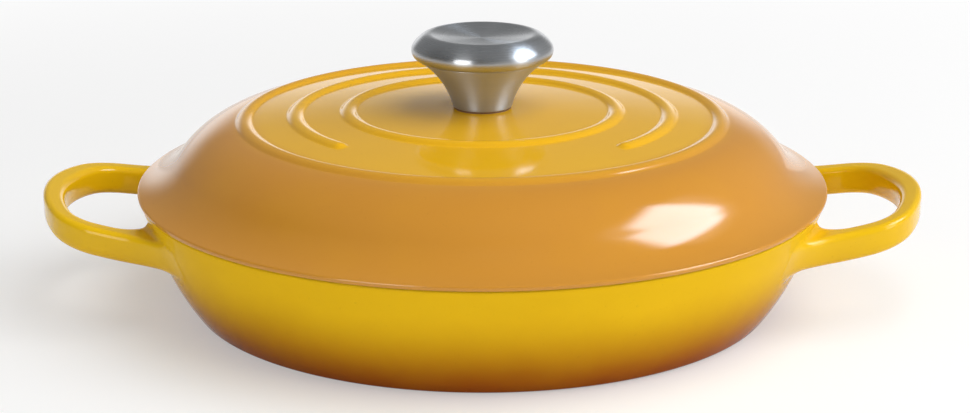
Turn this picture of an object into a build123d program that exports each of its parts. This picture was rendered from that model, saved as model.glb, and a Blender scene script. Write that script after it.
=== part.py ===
from build123d import *
import os
from math import asin, cos, degrees, radians, sin, sqrt, tan

# Round cast-iron braiser: a pan with two loop handles, a domed lid and a screwed steel knob.
# The origin is the centre of the pan's underside, +Z is up and the handles point along X.

# Pan
rim_radius = 136.4
pan_height = 46.0
wall = 3.6
base_thickness = 4.5
wall_lean = 19.5
straight_wall_height = 20.0
belly_radius = 92.0
base_edge_radius = 3.5
floor_fillet = 16.0
rim_edge_radius = 1.1
foot_width = 9.0
foot_recess = 0.6

# Loop handles: a plan outline and a side curve that leaves the wall level and bends upwards
handle_reach = 38.7
handle_half_width = 50.5
handle_splay = 14.0
handle_thickness = 11.6
handle_drop = 13.9
handle_bend_radius = 250.0
handle_bend_start = 30.0
handle_end_radius = 76.0
handle_corner_radius = 27.0
handle_draft = 1.0
handle_edge_radius = 3.2
handle_root_radius = 22.0
handle_root_depth = 32.0
bar_end_width = 8.5
bar_arm_width = 9.4
opening_corner_radius = 17.7
opening_root_radius = 9.0
handle_margin = 0.1

# Lid: its edge follows the pan's rim, and its crown and rings follow its edge
lid_overhang = 0.6
lip_thickness = 1.907
lid_wall = 3.5
lip_edge_radius = 0.8
crown_radius = 1100.0
crown_inset = 42.0
shoulder_radius = 36.0
flare_angle = 53.7
flare_radius = 30.0
outer_ring_inset = 0.5
outer_ring_spacing = 20.3
inner_ring_spacing = 21.0
ring_width = 6.4
ring_height = 1.5
ring_foot_radius = 1.2
ring_gap_angle = 94.0
locator_clearance = 1.0
locator_depth = 4.0
locator_width = 3.0
locator_edge_radius = 1.0
lug_width = 12.0
lug_count = 3
lug_clearance = 0.4
seat_radius = 13.0
seat_depth = 0.15
pad_radius = 15.0
pad_height = 1.2

# Knob and its fixing
knob_radius = 28.1
foot_radius = 11.7
foot_edge_radius = 0.6
foot_lean = 14.3
seam_radius = 25.8
seam_height = 19.4
cap_edge_radius = 3.8
cap_face_radius = 12.5
cap_face_start = 34.0
cap_face_end = 63.0
cap_crest_radius = 1.6
dish_angle = 10.0
cap_wall = 1.2
seam_land = 1.4
spigot_height = 1.5
spigot_clearance = 0.1
cup_wall = 3.0
cup_floor_height = 15.5
cup_floor_radius = 12.0
gasket_thickness = 0.7
gasket_inset = 0.4
insert_radius = 5.0
insert_length = 12.5
insert_recess = 0.5
insert_clearance = 0.05
screw_radius = 3.0
screw_clearance = 0.5
thread_clearance = 0.05
screw_engagement = 9.0
screw_head_radius = 5.5
screw_head_height = 3.2
screw_head_edge = 0.8
screw_slot_width = 1.2
screw_slot_depth = 1.6
washer_radius = 8.0
washer_thickness = 1.0

cut_overrun = 5.0

# Levels and angles that follow from the sizes above
lean = radians(wall_lean)
splay = radians(handle_splay)
handle_end = rim_radius + handle_reach
handle_root = rim_radius - handle_root_depth
belly_height = pan_height - straight_wall_height
belly_start_radius = rim_radius - (pan_height - belly_height) * tan(lean)
belly_centre_radius = belly_start_radius - belly_radius * cos(lean)
belly_centre_height = belly_height + belly_radius * sin(lean)
lid_radius = rim_radius + lid_overhang
crown_reach = lid_radius - crown_inset
outer_ring_radius = crown_reach - outer_ring_inset
broken_ring_radius = outer_ring_radius - outer_ring_spacing
inner_ring_radius = broken_ring_radius - inner_ring_spacing

# The lid's crown, shoulder and flare are three arcs that touch, placed upwards from the lip
crown_angle = asin(crown_reach / crown_radius)
flare_turn = radians(flare_angle)
crown_direction = Vector(sin(crown_angle), cos(crown_angle))
flare_direction = Vector(sin(flare_turn), cos(flare_turn))
shoulder_offset = crown_direction * (crown_radius - shoulder_radius)
flare_offset = shoulder_offset + flare_direction * (shoulder_radius + flare_radius)
lip_top = pan_height + lip_thickness
lip_drop = sqrt(flare_radius**2 - (flare_offset.X - lid_radius) ** 2)
crown_centre = Vector(0, lip_top + lip_drop - flare_offset.Y)
shoulder_centre = crown_centre + shoulder_offset
flare_centre = crown_centre + flare_offset
lid_top = crown_centre.Y + crown_radius

# Levels of the knob and its fixing
knob_seat = lid_top - seat_depth
pad_face = lid_top - lid_wall - pad_height
foot_height = knob_seat + gasket_thickness
seam_level = foot_height + seam_height
screw_hole_radius = screw_radius + screw_clearance

os.makedirs("parts", exist_ok=True)


def wall_radius(height):
    """Outer radius of the straight upper wall at a height above the base."""
    return rim_radius - (pan_height - height) * tan(lean)


def wall_section(inset, floor, top):
    """Half section of all that lies inside the wall's curve, moved inwards by an inset."""
    arc_radius = belly_radius - inset
    corner_radius = belly_centre_radius + sqrt(arc_radius**2 - (belly_centre_height - floor) ** 2)
    corner = (corner_radius, floor)
    start = (belly_start_radius - inset * cos(lean), belly_height + inset * sin(lean))
    rim = (wall_radius(top) - inset / cos(lean), top)
    with BuildSketch(mode=Mode.PRIVATE) as section:
        with BuildLine():
            Polyline(rim, (0, top), (0, floor), corner)
            TangentArc(start, corner, tangent=(-sin(lean), -cos(lean)))
            Line(start, rim)
        make_face()
    return section.sketch


def bar_shape(end_width, arm_width, corner_radius, inset):
    """Plan outline of the bar, or of its opening, with splayed arms and a bowed end."""
    end = handle_end - end_width - inset
    arc_radius = handle_end_radius - end_width - inset
    half_width = handle_half_width - arm_width - inset
    root_half_width = half_width + handle_root_depth * tan(splay)
    end_half_width = half_width - handle_reach * tan(splay)
    with BuildSketch(mode=Mode.PRIVATE) as bar:
        with BuildLine():
            Polyline(
                (handle_root, -root_half_width),
                (handle_end, -end_half_width),
                (handle_end, end_half_width),
                (handle_root, root_half_width),
                close=True,
            )
        make_face()
        with Locations((end - arc_radius, 0)):
            Circle(arc_radius, mode=Mode.INTERSECT)
        fillet(bar.vertices().group_by(Axis.X)[-1], corner_radius)
    return bar.sketch


def loop_outline(height, inset):
    """Plan outline of the handle at a height, flared into the wall's circle there."""
    radius = wall_radius(height) - handle_margin
    with BuildSketch(mode=Mode.PRIVATE) as loop:
        Circle(radius)
        with Locations((handle_root, 0)):
            Rectangle(radius, radius * 2, align=(Align.MIN, Align.CENTER), mode=Mode.INTERSECT)
        add(bar_shape(0, 0, handle_corner_radius - inset, inset))
        fillet(loop.vertices().group_by(Axis.X)[1], handle_root_radius)
    return loop.sketch


def opening_outline(height, inset):
    """Plan outline of the finger opening at a height, rounded at all four corners."""
    with BuildSketch(mode=Mode.PRIVATE) as opening:
        add(bar_shape(bar_end_width, bar_arm_width, opening_corner_radius, -inset))
        Circle(wall_radius(height) - handle_margin, mode=Mode.SUBTRACT)
        fillet(opening.vertices().group_by(Axis.X)[0], opening_root_radius)
    return opening.sketch


# Right-hand handle: the drafted plan cut to the side curve; its root lies inside the wall
handle_low = pan_height - handle_drop - handle_thickness
bend_start = rim_radius - handle_bend_start
top_bend_radius = handle_bend_radius - handle_thickness / 2
top_rise = handle_bend_radius - sqrt(top_bend_radius**2 - (handle_end - bend_start) ** 2)
handle_high = pan_height - handle_drop + top_rise + handle_margin
draft_inset = (handle_high - handle_low) * tan(radians(handle_draft))
with BuildPart() as handle:
    with BuildSketch(Plane.XY.offset(handle_low)):
        add(loop_outline(handle_low, draft_inset))
    with BuildSketch(Plane.XY.offset(handle_high)):
        add(loop_outline(handle_high, 0))
    loft(ruled=True)
    with BuildSketch(Plane.XY.offset(handle_low)):
        add(opening_outline(handle_low, -draft_inset))
    with BuildSketch(Plane.XY.offset(handle_high)):
        add(opening_outline(handle_high, 0))
    loft(ruled=True, mode=Mode.SUBTRACT)
    with BuildSketch(Plane.XZ):
        with Locations((bend_start, pan_height - handle_drop + handle_bend_radius)):
            Circle(handle_bend_radius + handle_thickness / 2)
            Circle(top_bend_radius, mode=Mode.SUBTRACT)
    extrude(amount=rim_radius, both=True, mode=Mode.INTERSECT)
    skins = handle.faces().filter_by(GeomType.CYLINDER).sort_by(SortBy.AREA)[-2:]
    skin_edges = skins[0].edges() + skins[1].edges()
    outlines = skin_edges.filter_by_position(Axis.X, handle_root, handle_end, inclusive=(False, True))
    fillet(outlines, handle_edge_radius)

# Pan: the handles are fused to the full body before the hollow is cut, as the casting's core would
with BuildPart() as pan:
    with BuildSketch(Plane.XZ) as body:
        add(wall_section(0, 0, pan_height))
        fillet(body.vertices().group_by(Axis.Y)[0].sort_by(Axis.X)[-1], base_edge_radius)
        fillet(body.vertices().group_by(Axis.Y)[-1].sort_by(Axis.X)[-1], rim_edge_radius)
    revolve(axis=Axis.Z)
    add(handle.part)
    add(handle.part.mirror(Plane.YZ))
    with BuildSketch(Plane.XZ) as hollow:
        add(wall_section(wall, base_thickness, pan_height + cut_overrun))
        fillet(hollow.vertices().group_by(Axis.Y)[0].sort_by(Axis.X)[-1], floor_fillet)
    revolve(axis=Axis.Z, mode=Mode.SUBTRACT)
    rim_edges = pan.edges().filter_by(GeomType.CIRCLE).filter_by_position(Axis.Z, pan_height, pan_height)
    fillet(rim_edges.sort_by(SortBy.RADIUS)[0], rim_edge_radius)
    base_radius = pan.faces().sort_by(Axis.Z)[0].outer_wire().edge().radius
    with BuildSketch():
        Circle(base_radius - foot_width)
    extrude(amount=foot_recess, mode=Mode.SUBTRACT)
pan.part.label = "pan"
export_step(pan.part, "parts/pan.step")


# Lid: the underside's flare, the locating rim and the rings
inner_flare_radius = flare_radius + lid_wall
inner_flare_end = flare_centre.X - sqrt(inner_flare_radius**2 - (flare_centre.Y - pan_height) ** 2)
locator_radius = wall_radius(pan_height) - wall / cos(lean) - locator_clearance
bump_radius = (ring_width**2 / 4 + ring_height**2) / (ring_height * 2)
gap_start = -90 - ring_gap_angle / 2
gap_end = -90 + ring_gap_angle / 2


def dome_section(inset, flare_end, floor):
    """Half section of all that lies under the dome and above a floor, moved inwards by an inset."""
    crown_end = crown_centre + crown_direction * (crown_radius - inset)
    shoulder_end = shoulder_centre + flare_direction * (shoulder_radius - inset)
    with BuildSketch(mode=Mode.PRIVATE) as section:
        with BuildLine():
            Polyline(flare_end, (flare_end[0], floor), (0, floor), (0, lid_top - inset))
            TangentArc((0, lid_top - inset), crown_end, tangent=(1, 0))
            TangentArc(crown_end, shoulder_end, tangent=(cos(crown_angle), -sin(crown_angle)))
            TangentArc(shoulder_end, flare_end, tangent=(cos(flare_turn), -sin(flare_turn)))
        make_face()
    return section.sketch


def ring_bump(radius):
    """Half-round section of a raised ring, with its lower part sunk into the crown."""
    foot = lid_top - crown_radius + sqrt(crown_radius**2 - radius**2)
    with BuildSketch(mode=Mode.PRIVATE) as bump:
        with Locations((radius, foot + ring_height - bump_radius)):
            Circle(bump_radius)
        with Locations((radius, foot - ring_height / 2)):
            Rectangle(
                ring_width * 2,
                ring_height * 2,
                align=(Align.CENTER, Align.MIN),
                mode=Mode.INTERSECT,
            )
    return bump.sketch


def locator_section(clearance, depth, width):
    """Half section of the rim under the lid that keeps it centred in the pan's mouth."""
    outer = locator_radius + locator_clearance - clearance
    tip = outer - depth * tan(lean)
    with BuildSketch(mode=Mode.PRIVATE) as locator:
        with BuildLine():
            Polyline(
                (outer, pan_height),
                (tip, pan_height - depth),
                (tip - width, pan_height - depth),
                (tip - width, pan_height + lid_wall),
                (outer, pan_height + lip_edge_radius),
                close=True,
            )
        make_face()
        fillet(locator.vertices().group_by(Axis.Y)[0], locator_edge_radius)
    return locator.sketch


def lid_section(ring_radii):
    """Half section of the lid with the raised rings that it has at this bearing."""
    with BuildSketch(mode=Mode.PRIVATE) as section:
        add(dome_section(0, (lid_radius, lip_top), pan_height))
        fillet(section.vertices().group_by(Axis.X)[-1], lip_edge_radius)
        for radius in ring_radii:
            add(ring_bump(radius))
        for radius in ring_radii:
            corners = section.vertices()
            feet = corners.filter_by_position(Axis.X, radius - ring_width, radius + ring_width)
            fillet(feet, ring_foot_radius)
        inner_flare = (inner_flare_end, pan_height)
        add(dome_section(lid_wall, inner_flare, pan_height - cut_overrun), mode=Mode.SUBTRACT)
        add(locator_section(locator_clearance, locator_depth, locator_width))
    return section.sketch


def section_plane(bearing):
    """Upright plane through the pan's axis at a bearing from +X."""
    turn = radians(bearing)
    return Plane(origin=(0, 0, 0), x_dir=(cos(turn), sin(turn), 0), z_dir=(sin(turn), -cos(turn), 0))


with BuildPart() as lid:
    with BuildSketch(Plane.XZ):
        add(lid_section((inner_ring_radius, outer_ring_radius)))
    revolve(axis=Axis.Z)
    # The middle ring stops short at the front and ends there in two domes
    with BuildSketch(section_plane(gap_end)):
        add(ring_bump(broken_ring_radius))
    revolve(axis=Axis.Z, revolution_arc=360 - ring_gap_angle)
    for bearing in (gap_start, gap_end):
        ring_end = section_plane(bearing).from_local_coords(Vector(broken_ring_radius, 0))
        with BuildSketch(section_plane(bearing)):
            add(ring_bump(broken_ring_radius))
            with Locations((broken_ring_radius, 0)):
                Rectangle(ring_width, lid_top, align=Align.MIN, mode=Mode.INTERSECT)
        revolve(axis=Axis(ring_end, (0, 0, 1)))
    lug_arc = degrees(lug_width / locator_radius)
    for lug in range(lug_count):
        bearing = 90 + lug * 360 / lug_count - lug_arc / 2
        with BuildSketch(section_plane(bearing)):
            add(locator_section(lug_clearance, locator_depth - locator_edge_radius, locator_width))
        revolve(axis=Axis.Z, revolution_arc=lug_arc)
    with BuildSketch(Plane.XY.offset(pad_face)):
        Circle(pad_radius)
    extrude(amount=pad_height + lid_wall / 2)
    with BuildSketch(Plane.XY.offset(knob_seat)):
        Circle(seat_radius)
    extrude(amount=cut_overrun, mode=Mode.SUBTRACT)
    with Locations((0, 0, lid_top)):
        Hole(screw_hole_radius)
lid.part.label = "lid"
export_step(lid.part, "parts/lid.step")

# Knob stem: trumpet that flares up to the cap, with a spigot for it and a hollow inside
spigot_radius = seam_radius - seam_land - spigot_clearance
foot_direction = (sin(radians(foot_lean)), cos(radians(foot_lean)))
with BuildPart() as knob_stem:
    with BuildSketch(Plane.XZ) as section:
        with BuildLine():
            TangentArc((foot_radius, foot_height), (seam_radius, seam_level), tangent=foot_direction)
            Polyline(
                (seam_radius, seam_level),
                (spigot_radius, seam_level),
                (spigot_radius, seam_level + spigot_height),
                (spigot_radius - cup_wall, seam_level + spigot_height),
                (cup_floor_radius, foot_height + cup_floor_height),
                (0, foot_height + cup_floor_height),
                (0, foot_height),
                (foot_radius, foot_height),
            )
        make_face()
        fillet(section.vertices().group_by(Axis.Y)[0].sort_by(Axis.X)[-1], foot_edge_radius)
    revolve(axis=Axis.Z)
    with BuildSketch(Plane.XY.offset(foot_height)):
        Circle(insert_radius + insert_clearance)
    extrude(amount=insert_recess + insert_length, mode=Mode.SUBTRACT)
knob_stem.part.label = "knob_stem"
export_step(knob_stem.part, "parts/knob_stem.step")

# Knob cap: pressed shell whose edge, face and crest are three arcs that touch, with a dish on top
face_start = radians(cap_face_start)
face_end = radians(cap_face_end)
dish_turn = radians(dish_angle)
edge_centre_radius = knob_radius - cap_edge_radius
edge_level = seam_level + sqrt(cap_edge_radius**2 - (seam_radius - edge_centre_radius) ** 2)
edge_centre = Vector(edge_centre_radius, edge_level)
face_direction = Vector(cos(face_start), sin(face_start))
face_centre = edge_centre - face_direction * (cap_face_radius - cap_edge_radius)
crest_direction = Vector(cos(face_end), sin(face_end))
crest_centre = face_centre + crest_direction * (cap_face_radius - cap_crest_radius)
dish_radius = crest_centre.X / sin(dish_turn) - cap_crest_radius
dish_depth = dish_radius * (1 - cos(dish_turn))
dish_direction = (-cos(dish_turn), -sin(dish_turn))
lip_radius = seam_radius - seam_land
inner_edge_radius = cap_edge_radius - cap_wall
lip_level = edge_level - sqrt(inner_edge_radius**2 - (lip_radius - edge_centre_radius) ** 2)
outer_start = -degrees(asin((edge_level - seam_level) / cap_edge_radius))
inner_start = -degrees(asin((edge_level - lip_level) / inner_edge_radius))


def crest_point(inset):
    """Point where the crest's arc runs into the dish, moved inwards by an inset."""
    radius = cap_crest_radius - inset
    return (crest_centre.X - radius * sin(dish_turn), crest_centre.Y + radius * cos(dish_turn))


def cap_run(inset, start):
    """The cap's edge, face and crest in one run, moved inwards by an inset."""
    with BuildLine(mode=Mode.PRIVATE) as run:
        CenterArc(edge_centre, cap_edge_radius - inset, start, cap_face_start - start)
        CenterArc(face_centre, cap_face_radius - inset, cap_face_start, cap_face_end - cap_face_start)
        CenterArc(crest_centre, cap_crest_radius - inset, cap_face_end, 90 + dish_angle - cap_face_end)
    return run.line


crest = crest_point(0)
dish_floor = crest[1] - dish_depth
with BuildPart() as knob_cap:
    with BuildSketch(Plane.XZ):
        with BuildLine():
            add(cap_run(0, outer_start))
            TangentArc(crest, (0, dish_floor), tangent=dish_direction)
            Line((0, dish_floor), (0, dish_floor - cap_wall))
            TangentArc(crest_point(cap_wall), (0, dish_floor - cap_wall), tangent=dish_direction)
            add(cap_run(cap_wall, inner_start))
            Polyline((lip_radius, lip_level), (lip_radius, seam_level), (seam_radius, seam_level))
        make_face()
    revolve(axis=Axis.Z)
knob_cap.part.label = "knob_cap"
export_step(knob_cap.part, "parts/knob_cap.step")

# Threaded bush in the stem, ring under the knob's foot, washer under the lid and the screw
with BuildPart() as knob_insert:
    with BuildSketch(Plane.XY.offset(foot_height + insert_recess)):
        Circle(insert_radius)
        Circle(screw_radius + thread_clearance, mode=Mode.SUBTRACT)
    extrude(amount=insert_length)
knob_insert.part.label = "knob_insert"
export_step(knob_insert.part, "parts/knob_insert.step")

with BuildPart() as knob_gasket:
    with BuildSketch(Plane.XY.offset(knob_seat)):
        Circle(foot_radius - gasket_inset)
        Circle(screw_hole_radius, mode=Mode.SUBTRACT)
    extrude(amount=gasket_thickness)
knob_gasket.part.label = "knob_gasket"
export_step(knob_gasket.part, "parts/knob_gasket.step")

with BuildPart() as screw_washer:
    with BuildSketch(Plane.XY.offset(pad_face)):
        Circle(washer_radius)
        Circle(screw_hole_radius, mode=Mode.SUBTRACT)
    extrude(amount=-washer_thickness)
screw_washer.part.label = "screw_washer"
export_step(screw_washer.part, "parts/screw_washer.step")

head_top = pad_face - washer_thickness
with BuildPart() as knob_screw:
    with BuildSketch(Plane.XY.offset(head_top)):
        Circle(screw_head_radius)
    extrude(amount=-screw_head_height)
    fillet(knob_screw.edges().sort_by(Axis.Z)[0], screw_head_edge)
    with BuildSketch(Plane.XY.offset(head_top)):
        Circle(screw_radius)
    extrude(amount=foot_height + insert_recess + screw_engagement - head_top)
    with BuildSketch(Plane.XY.offset(head_top - screw_head_height)):
        Rectangle(screw_head_radius * 2, screw_slot_width)
    extrude(amount=screw_slot_depth, mode=Mode.SUBTRACT)
knob_screw.part.label = "knob_screw"
export_step(knob_screw.part, "parts/knob_screw.step")
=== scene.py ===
# %% [markdown]
# # A shallow braiser in enamelled cast iron
# The real object is two iron castings and a small steel knob: a pan with a curved wall and two loop handles,
# a domed lid with raised rings, and a mushroom knob that is screwed to the lid.
# A fixed model, already measured, says where each piece is. This lesson gives the pieces smooth
# visible surfaces, glossy enamel and brushed steel, and then sets up a plain studio with a camera.

# %% Load the fixed model
import math
import bpy
import numpy as np
from mathutils import Matrix


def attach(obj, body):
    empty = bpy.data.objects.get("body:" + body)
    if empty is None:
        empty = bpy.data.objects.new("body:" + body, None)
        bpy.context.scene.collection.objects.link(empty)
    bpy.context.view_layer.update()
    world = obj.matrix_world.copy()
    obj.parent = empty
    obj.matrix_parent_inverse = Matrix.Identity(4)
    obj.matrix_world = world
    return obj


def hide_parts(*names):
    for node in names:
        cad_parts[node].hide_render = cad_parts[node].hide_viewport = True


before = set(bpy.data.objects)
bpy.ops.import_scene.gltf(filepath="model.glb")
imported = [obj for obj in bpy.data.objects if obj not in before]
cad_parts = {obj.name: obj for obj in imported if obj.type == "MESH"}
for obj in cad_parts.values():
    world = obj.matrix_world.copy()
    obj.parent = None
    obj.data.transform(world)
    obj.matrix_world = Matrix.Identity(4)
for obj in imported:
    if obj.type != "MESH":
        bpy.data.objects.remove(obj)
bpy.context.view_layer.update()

# %% [markdown]
# ## Outlines first
# Most of the braiser is round, so a good way to make it is the potter's way: draw half of the section, then
# turn it. A section could be drawn by hand as a curve, but the real one is drawn by a toolmaker with straight
# runs, arcs that touch each other and small rounded corners. Three little helpers give the same: an arc round
# a centre, an arc that leaves a point in a given direction, and a rounded corner. All lengths are millimetres.

# %% Outline helpers
MM = 0.001


def arc(centre, radius, start, end, count):
    """Points on an arc round a centre, with its angles in degrees."""
    return [
        (centre[0] + radius * math.cos(turn), centre[1] + radius * math.sin(turn))
        for turn in np.radians(np.linspace(start, end, count))
    ]


def leaving_arc(start, direction, end, count):
    """Points on the arc that leaves start in a direction and reaches end."""
    start, end = np.array(start, float), np.array(end, float)
    along = np.array(direction, float) / np.linalg.norm(direction)
    across = np.array([-along[1], along[0]])
    chord = end - start
    radius = chord @ chord / (2 * chord @ across)
    centre = start + across * radius
    first = math.atan2(*(start - centre)[::-1])
    sweep = 2 * math.atan2(chord @ across, chord @ along)
    return [
        tuple(centre + abs(radius) * np.array([math.cos(first + sweep * s), math.sin(first + sweep * s)]))
        for s in np.linspace(0, 1, count)
    ]


def corner(before, point, after, radius, count=5):
    """Points that round the corner between two straight runs."""
    before, point, after = (np.array(p, float) for p in (before, point, after))
    back = (before - point) / np.linalg.norm(before - point)
    forth = (after - point) / np.linalg.norm(after - point)
    half = math.acos(back @ forth) / 2
    middle = (back + forth) / np.linalg.norm(back + forth)
    centre = point + middle * radius / math.sin(half)
    first = point + back * radius / math.tan(half) - centre
    last = point + forth * radius / math.tan(half) - centre
    sweep = math.pi - 2 * half
    return [
        tuple(centre + (math.sin((1 - s) * sweep) * first + math.sin(s * sweep) * last) / math.sin(sweep))
        for s in np.linspace(0, 1, count)
    ]


print("a quarter turn:", [(round(x, 2), round(y, 2)) for x, y in corner((5, 0), (0, 0), (0, 5), 1, 3)])

# %% [markdown]
# ## A lathe made of nodes
# Turning a section could be done with the Spin tool or the Screw modifier. A small Geometry Nodes tree is
# chosen here because one tree then serves every round piece: a grid is made with one column for each step
# round the axis and one row for each point of the section, and every grid point looks up its radius and
# height in the section. The last column falls on the first, so a merge closes the seam and the poles.

# %% Node helpers
def feed(tree, node, inputs):
    """Feeds a node's inputs with numbers or links."""
    for socket, value in dict(inputs).items():
        if isinstance(value, bpy.types.NodeSocket):
            tree.links.new(value, node.inputs[socket])
        else:
            node.inputs[socket].default_value = value


def add_node(tree, kind, inputs=(), **settings):
    """Adds a node, sets its options and feeds its inputs."""
    node = tree.nodes.new(kind)
    for option, value in settings.items():
        setattr(node, option, value)
    feed(tree, node, inputs)
    return node


def calc(tree, operation, *values):
    """One step of arithmetic inside a node tree."""
    return add_node(tree, "ShaderNodeMath", enumerate(values), operation=operation).outputs[0]


def split(tree, vector):
    """A vector's three parts."""
    return add_node(tree, "ShaderNodeSeparateXYZ", {0: vector}).outputs


def square(tree, value):
    """A value times itself inside a node tree."""
    return calc(tree, "MULTIPLY", value, value)


def hypotenuse(tree, first, second):
    """The distance covered by two steps at right angles, inside a node tree."""
    return calc(tree, "SQRT", calc(tree, "ADD", square(tree, first), square(tree, second)))


def named_tree(kind, name, sockets, outlets):
    """A node tree with named inputs and outputs, and the sockets of its two end nodes."""
    tree = bpy.data.node_groups.new(name, kind)
    for side, labels in (("INPUT", sockets), ("OUTPUT", outlets)):
        for label, socket in labels.items():
            tree.interface.new_socket(label, in_out=side, socket_type=socket)
    return tree, tree.nodes.new("NodeGroupInput").outputs, tree.nodes.new("NodeGroupOutput").inputs


def shape_tree(name, sizes):
    """A geometry tree that changes one piece, with its sizes as inputs."""
    piece = {"Geometry": "NodeSocketGeometry"}
    return named_tree("GeometryNodeTree", name, piece | sizes, piece)


def finish_tree(tree, geometry, material, outlet):
    """Real geometry with smooth shading and a material, as every tree here must end."""
    smooth = add_node(tree, "GeometryNodeSetShadeSmooth", {"Geometry": geometry}).outputs[0]
    real = add_node(tree, "GeometryNodeRealizeInstances", {"Geometry": smooth}).outputs[0]
    dressed = add_node(tree, "GeometryNodeSetMaterial", {"Geometry": real, "Material": material}).outputs[0]
    tree.links.new(dressed, outlet)


def use_tree(piece, tree, values):
    """Puts a tree on a piece and sets the tree's inputs by their identifiers."""
    modifier = piece.modifiers.new(tree.name, "NODES")
    modifier.node_group = tree
    for item in tree.interface.items_tree:
        if item.in_out == "INPUT" and item.name in values:
            modifier[item.identifier] = values[item.name]


print("helpers ready")

# %% Build the lathe
FLOAT, INT, MATERIAL = "NodeSocketFloat", "NodeSocketInt", "NodeSocketMaterial"
lathe, given, result = shape_tree("turned_piece", {"Segments": INT, "Material": MATERIAL})
rows = add_node(lathe, "GeometryNodeAttributeDomainSize", {"Geometry": given["Geometry"]}).outputs["Point Count"]
columns = calc(lathe, "ADD", given["Segments"], 1.0)
grid = add_node(lathe, "GeometryNodeMeshGrid", {"Vertices X": columns, "Vertices Y": rows}).outputs["Mesh"]
index = lathe.nodes.new("GeometryNodeInputIndex").outputs[0]
column = calc(lathe, "FLOOR", calc(lathe, "DIVIDE", calc(lathe, "ADD", index, 0.5), rows))
row = calc(lathe, "SUBTRACT", index, calc(lathe, "MULTIPLY", column, rows))
place = lathe.nodes.new("GeometryNodeInputPosition").outputs[0]
section_point = add_node(
    lathe,
    "GeometryNodeSampleIndex",
    {"Geometry": given["Geometry"], "Value": place, "Index": row},
    data_type="FLOAT_VECTOR",
).outputs[0]
section_xyz = split(lathe, section_point)
turn = calc(lathe, "DIVIDE", calc(lathe, "MULTIPLY", column, math.tau), given["Segments"])
turned = add_node(
    lathe,
    "ShaderNodeCombineXYZ",
    {
        0: calc(lathe, "MULTIPLY", section_xyz[0], calc(lathe, "COSINE", turn)),
        1: calc(lathe, "MULTIPLY", section_xyz[0], calc(lathe, "SINE", turn)),
        2: section_xyz[2],
    },
).outputs[0]
moved = add_node(lathe, "GeometryNodeSetPosition", {"Geometry": grid, "Position": turned}).outputs[0]
closed = add_node(lathe, "GeometryNodeMergeByDistance", {"Geometry": moved, "Distance": 1e-6}).outputs[0]
finish_tree(lathe, closed, given["Material"], result["Geometry"])
print("lathe nodes:", len(lathe.nodes))


# %% Turn sections into plain meshes
def placed(name, data):
    """A new object for a mesh, lamp or camera, linked into the scene."""
    item = bpy.data.objects.new(name, data)
    bpy.context.collection.objects.link(item)
    return item


def mesh_piece(name, points, faces=()):
    """A piece made of points in metres and faces."""
    mesh = bpy.data.meshes.new(name)
    mesh.from_pydata(points, [], faces)
    return placed(name, mesh)


def section_piece(name, points):
    """A piece that holds only the section's points, ready for the lathe."""
    return mesh_piece(name, [(r * MM, 0, z * MM) for r, z in points])


def settle(piece):
    """Replaces a piece's mesh by what its modifiers make, and removes them."""
    evaluated = piece.evaluated_get(bpy.context.evaluated_depsgraph_get())
    mesh = bpy.data.meshes.new_from_object(evaluated)
    piece.modifiers.clear()
    piece.data = mesh
    mesh.name = piece.name
    print(piece.name, "faces:", len(mesh.polygons))
    return piece


def turned_piece(name, points, material, segments):
    """Turns a section round the axis and settles the result."""
    piece = section_piece(name, points)
    use_tree(piece, lathe, {"Segments": segments, "Material": material})
    return settle(piece)


# %% [markdown]
# ## Enamel, shared by pan and lid
# Vitreous enamel is coloured glass fused to the iron. Three things make it look real. Its colour shades from
# bright yellow where the coat is thin and light to burnt amber where it is thick. On the pan, its handles and
# the lid's shoulder this darkening is also painted shade, for the shade low on the wall and on the sloping
# shoulder. Its surface is never quite flat: it has long soft waves and a very fine orange-peel. And it holds
# faint clouds of tone. These belong to every enamelled piece, so they go in one node group that gives colour,
# roughness and height, and each material sets its own colours and passes its own mask for where the colour
# darkens. How strongly the coat mirrors is set for each material too: the pan's wall leans out over the pale
# floor and would be bleached by its image, so it mirrors very little, while the handles and the lid keep their
# shine.

# %% Colour and surface helpers
COLOUR, VECTOR = "NodeSocketColor", "NodeSocketVector"


def srgb(red, green, blue):
    """A screen colour from 0 to 255 as the linear colour that Blender works in."""
    values = [v / 255 for v in (red, green, blue)]
    linear = [v / 12.92 if v <= 0.04045 else ((v + 0.055) / 1.055) ** 2.4 for v in values]
    return (*linear, 1.0)


def surface_group(name, sockets):
    """A shader node group that gives a surface's colour, roughness and height."""
    return named_tree("ShaderNodeTree", name, sockets, {"Color": COLOUR, "Roughness": FLOAT, "Height": FLOAT})


def noise(tree, place, scale, detail=2.0, roughness=0.5):
    """A soft noise value between 0 and 1."""
    inputs = {"Vector": place, "Scale": scale, "Detail": detail, "Roughness": roughness}
    return add_node(tree, "ShaderNodeTexNoise", inputs).outputs[0]


def remap(tree, value, low, high, new_low=0.0, new_high=1.0, style="SMOOTHSTEP"):
    """Maps one range of a value to another, softly unless told otherwise, and stops at the ends."""
    inputs = {"Value": value, 1: low, 2: high, 3: new_low, 4: new_high}
    return add_node(tree, "ShaderNodeMapRange", inputs, interpolation_type=style).outputs[0]


def blend_colours(tree, factor, first, second):
    """Mixes two colours."""
    return add_node(tree, "ShaderNodeMix", {0: factor, 6: first, 7: second}, data_type="RGBA").outputs[2]


print("deep yellow is", [round(v, 3) for v in srgb(222, 178, 30)])

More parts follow.
